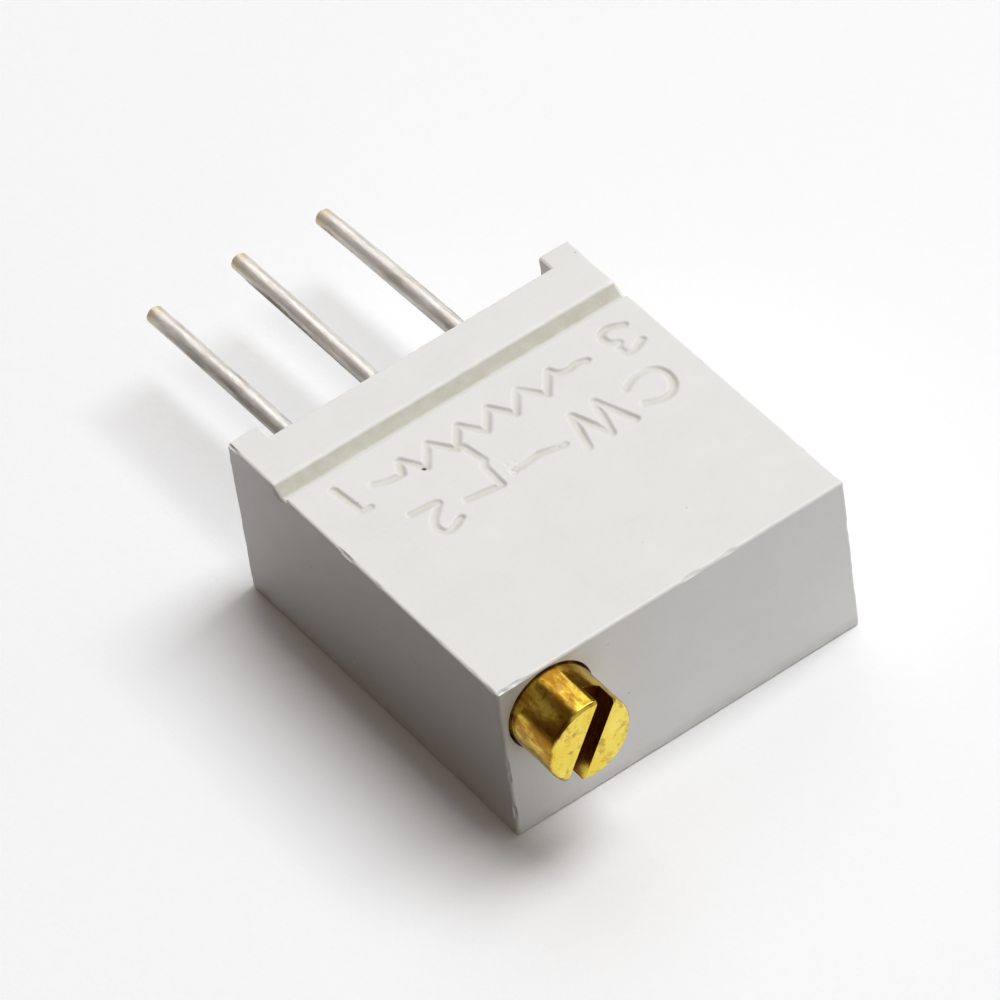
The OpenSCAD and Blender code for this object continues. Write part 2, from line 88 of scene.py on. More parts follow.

# Colours of the housing: plastic, its fine grain, dirt that is partly painted shade, worn edges that are
# partly a painted highlight, painted glints, dark specks, and the dark grain
PLASTIC_DARK = (0.735, 0.75, 0.745)
PLASTIC_LIGHT = (0.77, 0.785, 0.78)
PLASTIC_FINE = (0.795, 0.8, 0.787)
PLASTIC_WORN_AND_HIGHLIGHT = (0.88, 0.875, 0.84)
GROOVE_DIRT_AND_SHADE = (0.52, 0.505, 0.415)
MARK_DIRT_AND_SHADE = (0.52, 0.5, 0.4)
FOOT_DIRT_AND_SHADE = (0.34, 0.28, 0.21)
PAINTED_GLINT = (0.93, 0.93, 0.92)
DARK_SPECK = (0.3, 0.28, 0.24)
GRAIN_COLOUR = (0.015, 0.014, 0.013)
# Where that dirt and painted shade starts and is full: the groove's front, rear and height, and the foot's
# height
GROOVE_FRONT = (3.3 * MM, 3.42 * MM)
GROOVE_REAR = (3.76 * MM, 3.68 * MM)
GROOVE_HEIGHT = (4.5 * MM, 4.6 * MM)
FOOT_HEIGHT = (0.4 * MM, 0.0)

# Colours of the brass: clean metal, the side of the head, which is partly painted shade, tarnish, spots,
# flecks and the oxide in the slot, which is partly painted shade
BRASS_DARK = (0.85, 0.64, 0.085)
BRASS_LIGHT = (0.92, 0.77, 0.16)
BRASS_SIDE_TARNISH_AND_SHADE = (0.76, 0.47, 0.03)
BRASS_TARNISH = (0.27, 0.09, 0.006)
BRASS_SPOT = (0.42, 0.22, 0.05)
BRASS_FLECK = (0.3, 0.14, 0.03)
BRASS_OXIDE_AND_SHADE = (0.15, 0.03, 0.002)

# Colours of the wires: tin, brown oxide and the bare metal at the cut tip
TIN_DARK = (0.8, 0.775, 0.73)
TIN_LIGHT = (0.91, 0.9, 0.875)
TIN_OXIDE = (0.6, 0.5, 0.37)
WIRE_CORE = (0.72, 0.56, 0.22)

# Tolerances of the mesh work: joined corners, merged points, one plane, a rougher plane, and angles
WELD_GAP = 1e-7
MERGE_GAP = 0.002 * MM
LEVEL_GAP = 0.0005 * MM
PLANE_GAP = 0.001 * MM
FLAT_ANGLE = 0.02
SHARP_ANGLE = 0.4
FACING = 0.99

# The housing's small CAD chamfers, and how far the rail and the raised parts lie from the marked face
CHAMFER_REACH = 0.0605 * MM
RAIL_PAST_LIP = 0.3 * MM
TOP_REACH = 0.2 * MM
NOT_DOWN = -0.1

# Rounding of the housing's edges, the step of the worn edge strips and how many steps make a strip long
EDGE_ROUND = 0.115 * MM
EDGE_SEGMENTS = 4
EDGE_STEP = 0.11 * MM
LONG_STEPS = 5
# Faces up to the first area are shaded smooth. Wear moves no point of a face above the second
SMOOTH_AREA = 0.012 * MM * MM
WORN_AREA = 0.02 * MM * MM
HOUSING_SHARP = math.radians(48)

# Wear of the rounded edges: how often chips come, their shape and the roughness, as noise per mm
CHIP_PLACES = 1.3
CHIP_SHAPES = 4.7
ROUGH_GRAIN = 13.0
CHIP_BELOW = 0.12
CHIP_ABOVE = 0.25
# Depths in mm: of chips, of roughness, and of roughness along the groove
CHIP_DEPTH = 0.22
ROUGH_DEPTH = 0.011
ROUGH_IN_GROOVE = 0.002
# The groove's edges, in mm: no chips between front and rear, and no pale wear or painted highlight past the
# last value
CALM_FRONT = 3.0
CALM_REAR = 4.0
CALM_HALF = 4.85
UNWORN_FROM = 3.4
# How pale an edge looks, from wear and a painted highlight: everywhere, by its roughness and by its chips
WORN_BASE = 0.5
WORN_BY_ROUGH = 0.4
WORN_BY_CHIP = 2.0
# The corner of the housing with the largest chip, in mm, the chip's strength and its fading per mm
CHIPPED_CORNER = Vector((-5.0, 5.5, 4.85))
CORNER_CHIP = 0.22
CORNER_FADE = 0.5

# Moulded marks: half width of a stroke, its steep and gentle wall, the depth, and which side is steep
STROKE_HALF = 0.145 * MM
STROKE_STEEP = 0.065 * MM
STROKE_GENTLE = 0.17 * MM
STROKE_DEPTH = 0.062 * MM
STEEP_SIDE = np.array((0.45, 0.89))
STEEP_TURN = 0.9
# How much a stroke darkens with its depth: dirt and painted shade in the hollow
STROKE_DIRT_AND_SHADE = 0.6
# Uneven depth of the strokes: grain of the noise, middle, swing and least
UNEVEN_GRAIN = 0.7 * MM
UNEVEN_MIDDLE = 0.82
UNEVEN_SWING = 0.5
UNEVEN_LEAST = 0.45
# The fine mesh that carries the marks: its corner, size and cell
MARKED_CORNER = np.array((-4.6, -0.75)) * MM
MARKED_SIZE = np.array((9.2, 3.75)) * MM
MARK_CELL = 0.03 * MM

# Strokes of the marks on the face, in mm from its middle: terminal numbers, diagram and turning sense
MARKS = {
    "one": [(-4.0, 2.68), (-3.91, 1.69), (-3.68, 1.65)],
    "lead_one": [(-3.2, 2.2), (-2.9, 2.06), (-2.5, 2.01)],
    "lead_three": [(2.06, 2.39), (2.18, 2.2), (2.45, 2.13), (2.72, 2.19), (2.93, 2.09)],
    "wiper": [(-0.92, 1.79), (-0.81, 1.08), (-0.93, 0.88), (-0.96, 0.17), (-1.85, 0.33)],
    "two": [(-3.1, 0.82), (-2.32, 0.75), (-2.61, 0.5), (-2.86, 0.25), (-2.94, 0.02),
            (-2.84, -0.2), (-2.59, -0.21), (-2.3, -0.05)],
    "arrow": [(-0.46, 0.33), (0.28, 0.39), (0.9, 0.21)],
    "letter_w": [(2.64, -0.23), (2.25, 0.88), (1.95, -0.22), (1.57, 0.88), (1.26, -0.24)],
    "letter_c": [(3.04, 0.69), (3.36, 0.88), (3.73, 0.9), (4.0, 0.75), (4.09, 0.44),
                 (4.01, 0.07), (3.8, -0.14), (3.47, -0.15), (3.08, 0.04)],
    "three": [(4.3, 2.44), (3.95, 2.64), (3.68, 2.56), (3.61, 2.31), (3.71, 2.13), (3.89, 2.05),
              (3.74, 1.93), (3.74, 1.66), (4.01, 1.59), (4.32, 1.76)],
}
ROUND_MARKS = ("two", "letter_c", "three", "lead_one", "lead_three")
CORNER_CUTS = 2
# The resistor's zigzag: places of its peaks and valleys across the face
ZIGZAG_START = (-2.5, 2.01)
ZIGZAG_PEAKS = [-2.29, -1.48, -0.6, 0.27, 1.13, 2.06]
ZIGZAG_VALLEYS = [-1.93, -1.05, -0.19, 0.66, 1.58]
ZIGZAG_PEAK_Y = 2.42
ZIGZAG_VALLEY_Y = 1.8
# A dark grain that sits in the zigzag, and how sharply it ends
GRAIN_AT = Vector((-1.99, 1.84)) * MM
GRAIN_R = 0.075 * MM
GRAIN_EDGE = 2.2
# A scuffed spot beside the turning sense: place, radius, grain of its patches, strength and depth
SCUFF_AT = Vector((-0.5, 0.42)) * MM
SCUFF_R = 0.32 * MM
SCUFF_GRAIN = 0.06 * MM
SCUFF_STRENGTH = 2.5
SCUFF_DEPTH = 0.03 * MM

# Driver slot of the screw: lean from upright, half width, depth, and the slack when its points are found
SLOT_LEAN = math.radians(30)
SLOT_HALF = 0.25 * MM
SLOT_DEPTH = 0.6 * MM
SLOT_SLACK_ACROSS = 0.003 * MM
SLOT_SLACK_DOWN = 0.01 * MM
# How fast the slot's oxide and painted shade darken with depth
SLOT_DARKENING = 1.15
# The round side of the screw's head: depth of its band and where it starts behind the end face
SIDE_BAND = 0.03 * MM
SIDE_START = 0.06 * MM
# Broken edges of the head, which stands this far clear of the housing
HEAD_BREAK = 0.02 * MM
HEAD_BREAK_SEGMENTS = 2
HEAD_CLEAR = 0.1 * MM
SCREW_SHARP = math.radians(35)
NORMAL_WEIGHT = 90

# Wires: cuts along their length, the uneven coat, the bare tip, and how far the three tips are bent aside
WIRE_EDGE = 3 * MM
WIRE_CUTS = 70
WIRE_SHARP = math.radians(40)
COAT_GRAIN = 2.2
COAT_DRAWN = 0.55
COAT_SWING = 0.06
COAT_LESS = 0.04
COAT_APART = 7.0
BARE_TIP = 0.5 * MM
TIP_BENDS = [
    Vector((-0.05, 0.0, -0.08)) * MM,
    Vector((-0.06, 0.0, 0.03)) * MM,
    Vector((-0.1, 0.0, -0.12)) * MM,
]


class Graph:
    """Short calls for the nodes of one procedural material."""

    def __init__(self, name):
        self.material = bpy.data.materials.new(name)
        self.material.use_nodes = True
        self.tree = self.material.node_tree
        self.shader = self.tree.nodes["Principled BSDF"]
        self.coords = self.tree.nodes.new("ShaderNodeTexCoord").outputs["Object"]

    def node(self, kind, inputs=None, **settings):
        made = self.tree.nodes.new(kind)
        for key, value in settings.items():
            setattr(made, key, value)
        for key, value in (inputs or {}).items():
            self.feed(made.inputs[key], value)
        return made

    def feed(self, socket, value):
        if isinstance(value, bpy.types.NodeSocket):
            self.tree.links.new(value, socket)
        else:
            socket.default_value = value

    def places(self):
        """The x, y and z of the point in the object."""
        return self.node("ShaderNodeSeparateXYZ", {"Vector": self.coords}).outputs

    def noise(self, size, detail=3.0, rough=0.55, stretch=(1, 1, 1)):
        """Noise whose grain is about size metres across."""
        place = self.node("ShaderNodeMapping", {"Vector": self.coords, "Scale": stretch})
        made = self.node("ShaderNodeTexNoise", {
            "Vector": place.outputs["Vector"], "Scale": 1 / size, "Detail": detail, "Roughness": rough})
        return made.outputs["Fac"]

    def cells(self, size):
        """Distance from the middles of cells that are about size metres across."""
        made = self.node("ShaderNodeTexVoronoi", {"Vector": self.coords, "Scale": 1 / size})
        return made.outputs["Distance"]

    def attribute(self, name):
        return self.node("ShaderNodeAttribute", attribute_name=name).outputs["Fac"]

    def span(self, value, low, high, start=0.0, end=1.0):
        """value from low to high, as start to end."""
        made = self.node("ShaderNodeMapRange", {
            "Value": value, "From Min": low, "From Max": high, "To Min": start, "To Max": end})
        return made.outputs["Result"]

    def spread(self, value, start=0.0, end=1.0):
        """The values that noise mostly takes, as start to end."""
        return self.span(value, 0.3, 0.7, start, end)

    def times(self, one, two):
        return self.node("ShaderNodeMath", {0: one, 1: two}, operation="MULTIPLY").outputs["Value"]

    def plus(self, one, two):
        return self.node("ShaderNodeMath", {0: one, 1: two}, operation="ADD").outputs["Value"]

    def blend(self, share, one, two):
        made = self.node("ShaderNodeMix", data_type="RGBA")
        self.feed(made.inputs[0], share)
        for socket, colour in ((made.inputs[6], one), (made.inputs[7], two)):
            self.feed(socket, colour if isinstance(colour, bpy.types.NodeSocket) else (*colour, 1.0))
        return made.outputs[2]

    def bump(self, height, distance, strength=1.0, under=None):
        made = self.node("ShaderNodeBump", {"Height": height, "Distance": distance, "Strength": strength})
        if under is not None:
            self.feed(made.inputs["Normal"], under)
        return made.outputs["Normal"]

    def finish(self, colour, roughness, normal, metallic=0.0):
        self.feed(self.shader.inputs["Base Color"], colour)
        self.feed(self.shader.inputs["Roughness"], roughness)
        self.feed(self.shader.inputs["Metallic"], metallic)
        self.feed(self.shader.inputs["Normal"], normal)
        return self.material


def housing_plastic():
    """Light grey moulded plastic: fine grain, paler worn edges that are partly a painted highlight, painted
    glints, and dirt that is partly painted shade in the marks, the groove and at the foot.
    """
    g = Graph("housing_plastic")
    place = g.places()
    cloud = g.spread(g.noise(1.6 * MM, 4.0))
    fine = g.spread(g.noise(0.16 * MM, 3.0))
    patchy = g.span(g.noise(0.4 * MM), 0.25, 0.75, 0.55, 1.0)
    body = g.blend(cloud, PLASTIC_DARK, PLASTIC_LIGHT)
    body = g.blend(g.times(fine, 0.35), body, PLASTIC_FINE)
    # painted shade: the groove's ramp, which faces away from the light, is tinted darker, partly dirt and
    # partly painted shade
    in_groove = g.times(g.span(place["Y"], *GROOVE_FRONT), g.span(place["Y"], *GROOVE_REAR))
    in_groove = g.times(in_groove, g.span(place["Z"], *GROOVE_HEIGHT))
    body = g.blend(g.times(in_groove, patchy), body, GROOVE_DIRT_AND_SHADE)
    # painted shade: strokes darken with their depth, partly dirt and partly painted shade
    body = g.blend(g.times(g.attribute("mark_dirt_and_shade"), patchy), body, MARK_DIRT_AND_SHADE)
    # painted shade: darker towards the foot, partly dirt and partly a painted contact shadow
    foot_dirt_and_shade_share = g.spread(g.noise(0.5 * MM), 0.05, 0.35)
    body = g.blend(g.times(g.span(place["Z"], *FOOT_HEIGHT), foot_dirt_and_shade_share), body, FOOT_DIRT_AND_SHADE)
    # painted highlight: rounded edges are paled, partly wear and partly a painted edge highlight
    body = g.blend(g.attribute("wear_and_highlight"), body, PLASTIC_WORN_AND_HIGHLIGHT)
    # painted glints: small white specks stand in for the plastic's sparkle
    painted_glints = g.span(g.cells(0.33 * MM), 0.06, 0.03)
    body = g.blend(g.times(painted_glints, 0.6), body, PAINTED_GLINT)
    specks = g.span(g.cells(0.9 * MM), 0.035, 0.02)
    body = g.blend(g.times(specks, 0.5), body, DARK_SPECK)
    body = g.blend(g.attribute("grain"), body, GRAIN_COLOUR)
    rough = g.spread(g.noise(0.5 * MM), 0.42, 0.56)
    grain = g.bump(g.noise(0.09 * MM, 4.0, 0.6), 0.004 * MM, 0.6)
    normal = g.bump(g.noise(0.9 * MM, 2.0), 0.012 * MM, 0.5, grain)
    return g.finish(body, rough, normal)


def screw_brass():
    """Turned brass: lathe marks, brown tarnish that is heavier on the side, where it is partly painted shade,
    and dark oxide in the slot that darkens with depth, partly painted shade.
    """
    g = Graph("screw_brass")
    side = g.attribute("side")
    slot = g.attribute("slot")
    drawn = g.noise(0.5 * MM, 5.0, 0.65, (1.0, 0.35, 1.0))
    # the round side gets heavier tarnish, partly painted shade
    heavy = g.span(g.plus(drawn, g.times(side, 0.16)), 0.57, 0.72)
    spots = g.span(g.noise(0.32 * MM, 3.0), 0.58, 0.7)
    flecks = g.span(g.noise(0.12 * MM, 2.0), 0.62, 0.72)
    metal = g.blend(g.span(g.noise(0.9 * MM), 0.35, 0.65), BRASS_DARK, BRASS_LIGHT)
    # painted shade: the head's round side is darker, partly tarnish and partly painted shade
    metal = g.blend(g.times(side, 0.4), metal, BRASS_SIDE_TARNISH_AND_SHADE)
    metal = g.blend(g.times(heavy, 0.85), metal, BRASS_TARNISH)
    metal = g.blend(g.times(spots, 0.65), metal, BRASS_SPOT)
    metal = g.blend(g.times(flecks, 0.3), metal, BRASS_FLECK)
    # painted shade: the slot darkens with depth, partly oxide and partly painted shade
    metal = g.blend(slot, metal, BRASS_OXIDE_AND_SHADE)
    rough = g.plus(g.spread(g.noise(0.25 * MM), 0.13, 0.22), g.times(heavy, 0.06))
    rough = g.plus(rough, g.times(slot, 0.25))
    turning = g.noise(0.06 * MM, 2.0, 0.5, (0.1, 1.0, 0.1))
    return g.finish(metal, rough, g.bump(turning, 0.004 * MM, 0.5), 1.0)


def tinned_wire():
    """Dull tinned wire: drawn streaks, a lumpy coat, brown oxide in patches and bare metal at the cut tip."""
    g = Graph("tinned_wire")
    streak = g.noise(0.09 * MM, 4.0, 0.6, (1.0, 0.1, 1.0))
    stain = g.span(g.noise(0.3 * MM, 5.0, 0.65, (1.0, 0.3, 1.0)), 0.5, 0.68)
    metal = g.blend(g.span(streak, 0.35, 0.65), TIN_DARK, TIN_LIGHT)
    metal = g.blend(g.times(stain, 0.4), metal, TIN_OXIDE)
    metal = g.blend(g.times(g.attribute("tip"), 0.75), metal, WIRE_CORE)
    rough = g.spread(g.noise(0.22 * MM), 0.36, 0.58)
    lumps = g.bump(g.noise(0.16 * MM, 3.0, 0.6, (1.0, 0.5, 1.0)), 0.025 * MM, 0.6)
    return g.finish(metal, rough, g.bump(streak, 0.006 * MM, 0.6, lumps), 0.55)


def seal_rubber():
    """Black rubber with a little dust."""
    g = Graph("seal_rubber")
    dust = g.span(g.noise(0.2 * MM), 0.45, 0.75)
    colour = g.blend(g.times(dust, 0.5), (0.015, 0.015, 0.016), (0.06, 0.058, 0.055))
    normal = g.bump(g.noise(0.05 * MM), 0.004 * MM)
    return g.finish(colour, g.span(dust, 0.0, 1.0, 0.5, 0.7), normal)


def clip_steel():
    """Brushed spring steel."""
    g = Graph("clip_steel")
    brush = g.noise(0.05 * MM, 3.0, 0.6, (1.0, 1.0, 0.1))
    colour = g.blend(brush, (0.5, 0.5, 0.51), (0.68, 0.68, 0.69))
    return g.finish(colour, g.spread(brush, 0.25, 0.4), g.bump(brush, 0.003 * MM), 1.0)


def moulded(name, dark, light):
    """A hidden moulded plastic piece with flow clouds and a fine skin."""
    g = Graph(name)
    cloud = g.spread(g.noise(0.9 * MM, 4.0))
    rough = g.spread(g.noise(0.3 * MM), 0.4, 0.55)
    return g.finish(g.blend(cloud, dark, light), rough, g.bump(g.noise(0.08 * MM), 0.004 * MM, 0.6))


def spring_alloy():
    """Rolled copper alloy."""
    g = Graph("wiper_alloy")
    rolled = g.noise(0.04 * MM, 3.0, 0.6, (0.1, 1.0, 1.0))
    colour = g.blend(g.span(g.noise(0.6 * MM), 0.35, 0.65), (0.72, 0.43, 0.25), (0.83, 0.56, 0.36))
    return g.finish(colour, g.spread(rolled, 0.2, 0.34), g.bump(rolled, 0.002 * MM), 1.0)


def plate_ceramic():
    """White fired ceramic with a fine grain."""
    g = Graph("substrate_ceramic")
    grain = g.noise(0.07 * MM, 4.0, 0.65)
    colour = g.blend(g.spread(grain), (0.8, 0.79, 0.76), (0.9, 0.895, 0.875))
    return g.finish(colour, g.spread(grain, 0.5, 0.62), g.bump(grain, 0.004 * MM))


def printed(name, dark, light, metallic):
    """A fired printed layer with the weave of its screen."""
    g = Graph(name)
    mesh = g.cells(0.07 * MM)
    cloud = g.spread(g.noise(0.4 * MM))
    rough = g.span(cloud, 0.0, 1.0, 0.4, 0.6)
    return g.finish(g.blend(cloud, dark, light), rough, g.bump(mesh, 0.006 * MM, 0.6), metallic)


def solder_alloy():
    """Frosted solder."""
    g = Graph("solder")
    frost = g.cells(0.09 * MM)
    colour = g.blend(g.span(g.noise(0.2 * MM), 0.35, 0.65), (0.6, 0.6, 0.61), (0.78, 0.78, 0.79))
    return g.finish(colour, g.span(frost, 0.0, 0.7, 0.2, 0.45), g.bump(frost, 0.004 * MM), 1.0)


def seal_epoxy():
    """Poured epoxy with flow clouds and small bubbles."""
    g = Graph("seal_epoxy")
    cloud = g.spread(g.noise(1.8 * MM, 4.0))
    bubble = g.span(g.cells(0.8 * MM), 0.16, 0.05)
    colour = g.blend(cloud, (0.62, 0.58, 0.44), (0.72, 0.69, 0.56))
    colour = g.blend(g.times(bubble, 0.5), colour, (0.42, 0.38, 0.27))
    flow = g.bump(g.noise(2.2 * MM, 2.0), 0.05 * MM, 0.5)
    return g.finish(colour, g.span(cloud, 0.0, 1.0, 0.24, 0.38), g.bump(bubble, -0.03 * MM, 0.7, flow))


def paper_floor():
    """White matt card. Left of the part it sends little light back up, as if a dark card lay there: a painted
    shade that darkens the housing's left side.
    """
    g = Graph("white_card")
    fibre = g.noise(0.35 * MM, 5.0, 0.65)
    glitter = g.span(g.noise(0.055 * MM, 1.0), 0.45, 0.75)
    card = g.blend(g.spread(fibre), CARD_LOW, CARD_HIGH)
    card = g.blend(g.times(glitter, 0.55), card, CARD_GLITTER)
    path = g.node("ShaderNodeLightPath").outputs
    seen = g.plus(path["Is Camera Ray"], g.plus(path["Is Glossy Ray"], path["Is Transmission Ray"]))
    place = g.places()
    # painted shade: light bounced from the card is near black left of the part
    painted_shade_zone = g.times(g.span(place["X"], *PAINTED_SHADE_ACROSS), g.span(place["Y"], *PAINTED_SHADE_ALONG))
    bounce = g.blend(painted_shade_zone, BOUNCE_OPEN, BOUNCE_PAINTED_SHADE)
    colour = g.blend(seen, bounce, card)
    return g.finish(colour, g.spread(fibre, 0.6, 0.75), g.bump(fibre, 0.02 * MM, 0.5))


def welded_copy(name):
    """A CAD node's mesh with its corners joined and flat triangles merged."""
    bm = bmesh.new()
    bm.from_mesh(nodes[name].data)
    bmesh.ops.remove_doubles(bm, verts=bm.verts, dist=WELD_GAP)
    bmesh.ops.dissolve_limit(bm, angle_limit=FLAT_ANGLE, verts=bm.verts, edges=bm.edges)
    return bm


def new_piece(name, bm, material, body, stands_for):
    """A visible piece that rides on a body and stands for a CAD node."""
    mesh = bpy.data.meshes.new(name)
    bm.normal_update()
    bm.to_mesh(mesh)
    bm.free()
    piece = bpy.data.objects.new(name, mesh)
    bpy.context.scene.collection.objects.link(piece)
    mesh.materials.append(material)
    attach(piece, body)
    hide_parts(stands_for)
    return piece


def smooth_but_sharp(bm, angle):
    """Smooth faces, with edges sharper than angle kept hard."""
    for face in bm.faces:
        face.smooth = True
    for edge in bm.edges:
        edge.smooth = len(edge.link_faces) == 2 and edge.calc_face_angle(0.0) < angle


def weigh_normals(piece):
    """Large faces keep their own normals, so that only the rounded edges bend the light."""
    weighted = piece.modifiers.new("weighted normals", "WEIGHTED_NORMAL")
    weighted.keep_sharp = True
    weighted.weight = NORMAL_WEIGHT


def is_outer_edge(edge):
    """Whether an edge between two faces is sharp and stands out."""
    return len(edge.link_faces) == 2 and edge.is_convex and edge.calc_face_angle(0.0) > SHARP_ANGLE


def round_edges(bm, edges, offset, segments):
    """Rounds the edges. Returns the new faces."""
    made = bmesh.ops.bevel(
        bm, geom=edges, offset=offset, offset_type="OFFSET", segments=segments, profile=0.5,
        affect="EDGES", clamp_overlap=True)
    return set(made["faces"])


def near(value, level):
    return abs(value - level) < LEVEL_GAP


def clamped(value):
    return min(1.0, max(0.0, value))


def largest_face(bm, axis):
    """The largest face that looks along an axis, given as x, y or z."""
    return max((f for f in bm.faces if getattr(f.normal, axis) > FACING), key=lambda f: f.calc_area())


def housing_levels(bm):
    """The planes of the housing's outside, read from its mesh."""
    low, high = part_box("housing")
    marked = largest_face(bm, "z")
    rear = largest_face(bm, "y")
    rail = [f for f in bm.faces if f.normal.z > FACING and near(f.calc_center_median().z, high.z)]
    rail_front = min(v.co.y for f in rail for v in f.verts)
    return {
        "low": low, "high": high, "top": marked.verts[0].co.z,
        "lip": max(v.co.y for v in marked.verts), "rear": rear.verts[0].co.y, "rail": rail_front,
    }


def sharpen_outside(bm, levels):
    """Moves the corners of the small CAD chamfers back to the sharp edges that they were cut from."""
    low, high = levels["low"], levels["high"]
    for vert in bm.verts:
        co = vert.co
        on_side = high.x - abs(co.x) < CHAMFER_REACH
        on_front = co.y - low.y < CHAMFER_REACH
        on_foot = high.y - co.y < CHAMFER_REACH
        on_floor = co.z - low.z < CHAMFER_REACH
        on_rail = co.y > levels["lip"] + RAIL_PAST_LIP and high.z - co.z < CHAMFER_REACH
        on_marked = co.y < levels["lip"] + PLANE_GAP and abs(levels["top"] - co.z) < CHAMFER_REACH
        if sum((on_side, on_front, on_foot, on_floor, on_rail or on_marked)) < 2:
            continue
        if on_side:
            co.x = math.copysign(high.x, co.x)
        if on_front:
            co.y = low.y
        if on_foot:
            co.y = high.y
        if on_floor:
            co.z = low.z
        if on_rail:
            co.z = high.z
            co.y = max(co.y, levels["rail"])
        if on_marked:
            co.z = levels["top"]
    bmesh.ops.remove_doubles(bm, verts=bm.verts, dist=MERGE_GAP)
    bmesh.ops.dissolve_degenerate(bm, edges=bm.edges, dist=MERGE_GAP)
    bmesh.ops.dissolve_limit(bm, angle_limit=FLAT_ANGLE, verts=bm.verts, edges=bm.edges)


def outer_faces(bm, levels):
    """Faces of the housing's outside, without its bore, slits and pocket."""
    low, high = levels["low"], levels["high"]
    found = set()
    for face in bm.faces:
        points = [v.co for v in face.verts]
        outside = [
            all(near(abs(p.x), high.x) for p in points),
            all(near(p.y, low.y) for p in points),
            all(near(p.y, high.y) for p in points),
            all(near(p.y, levels["rear"]) for p in points),
            all(p.y > levels["rear"] - PLANE_GAP for p in points),
            all(near(p.z, low.z) for p in points),
            all(p.z > levels["top"] - TOP_REACH for p in points) and face.normal.z > NOT_DOWN,
        ]
        if any(outside):
            found.add(face)
    return found


def round_outside(bm, levels):
    """Rounds the outer edges. Returns the faces of the rounded strips."""
    outside = outer_faces(bm, levels)
    edges = [e for e in bm.edges if is_outer_edge(e) and all(f in outside for f in e.link_faces)]
    return round_edges(bm, edges, EDGE_ROUND, EDGE_SEGMENTS)


def split_edge(edge, cuts):
    """Splits an edge into equal steps. Returns the new points from start to end."""
    last = edge.verts[1]
    made = []
    for left in range(cuts, 0, -1):
        start = edge.verts[0] if edge.verts[1] is last else edge.verts[1]
        edge, point = bmesh.utils.edge_split(edge, start, 1 / (left + 1))
        rest = [e for e in point.link_edges if e.other_vert(point) is last]
        made.append(point)
        edge = rest[0]
    return made


def cut_strips(bm, strips):
    """Short steps along the rounded edges, so that wear has something to move. Returns all their faces."""
    every = set(strips)
    runs = []
    for face in strips:
        long_edges = [e for e in face.edges if e.calc_length() > LONG_STEPS * EDGE_STEP]
        if len(face.verts) == 4 and len(long_edges) == 2:
            runs.append((face, *long_edges))
    group = {}
    for _, one, two in runs:
        joined = group.get(one, {one}) | group.get(two, {two})
        for edge in joined:
            group[edge] = joined
    directions = {e: e.verts[1].co - e.verts[0].co for e in group}
    cuts = {e: round(max(x.calc_length() for x in group[e]) / EDGE_STEP) - 1 for e in group}
    points = {e: split_edge(e, cuts[e]) for e in list(group)}
    for face, one, two in runs:
        others = points[two]
        if directions[one].dot(directions[two]) < 0:
            others = others[::-1]
        pairs = list(zip(points[one], others))
        for index, (a, b) in enumerate(pairs):
            made = bmesh.utils.face_split(face, a, b)[0]
            every.add(made)
            if index + 1 < len(pairs) and pairs[index + 1][0] in made.verts:
                face = made
    return every


def build_housing(material):
    """The housing with rounded and worn edges and its marks."""
    bm = welded_copy("housing")
    levels = housing_levels(bm)
    sharpen_outside(bm, levels)
    strips = round_outside(bm, levels)
    bmesh.ops.delete(bm, geom=[largest_face(bm, "z")], context="FACES_ONLY")
    wear_edges(bm, cut_strips(bm, strips))
    fill = add_marked_face(bm, levels["top"])
    smooth_but_sharp(bm, HOUSING_SHARP)
    for face in bm.faces:
        face.smooth = face.calc_area() < SMOOTH_AREA
    for face in fill:
        face.smooth = False
    new_piece("housing_moulding", bm, material, "body", "housing")


def wear_edges(bm, strips):
    """Chips and roughness on the rounded edges, and how pale each point is, from wear and a painted edge
    highlight.
    """
    wear_and_highlight = bm.verts.layers.float.new("wear_and_highlight")
    bm.normal_update()
    moves = []
    for vert in bm.verts:
        if vert.is_boundary or any(f.calc_area() > WORN_AREA for f in vert.link_faces):
            continue
        if not any(f in strips for f in vert.link_faces):
            continue
        place = vert.co / MM
        chip = max(0.0, noise.noise(place * CHIP_PLACES) - CHIP_BELOW)
        chip *= max(0.0, noise.noise(place * CHIP_SHAPES) + CHIP_ABOVE)
        fine = noise.noise(place * ROUGH_GRAIN)
        in_groove = CALM_FRONT < place.y < CALM_REAR and abs(place.x) < CALM_HALF
        if in_groove:
            chip = 0.0
        chip += max(0.0, CORNER_CHIP - CORNER_FADE * (place - CHIPPED_CORNER).length)
        rough = ROUGH_IN_GROOVE if in_groove else ROUGH_DEPTH
        moves.append((vert, -vert.normal * (CHIP_DEPTH * chip + rough * fine) * MM))
        if not (in_groove and place.y > UNWORN_FROM):
            vert[wear_and_highlight] = clamped(WORN_BASE + WORN_BY_ROUGH * fine + WORN_BY_CHIP * chip)
    for vert, move in moves:
        vert.co += move


def stroke_lines():
    """Every stroke of the marks as pairs of points in metres."""
    zigzag = [ZIGZAG_START, (ZIGZAG_PEAKS[0], ZIGZAG_PEAK_Y)]
    for valley, peak in zip(ZIGZAG_VALLEYS, ZIGZAG_PEAKS[1:]):
        zigzag += [(valley, ZIGZAG_VALLEY_Y), (peak, ZIGZAG_PEAK_Y)]
    lines = []
    for name, line in [*MARKS.items(), ("zigzag", zigzag)]:
        if name in ROUND_MARKS:
            line = rounded_line(line)
        lines += list(zip(line[:-1], line[1:]))
    return np.array(lines) * MM


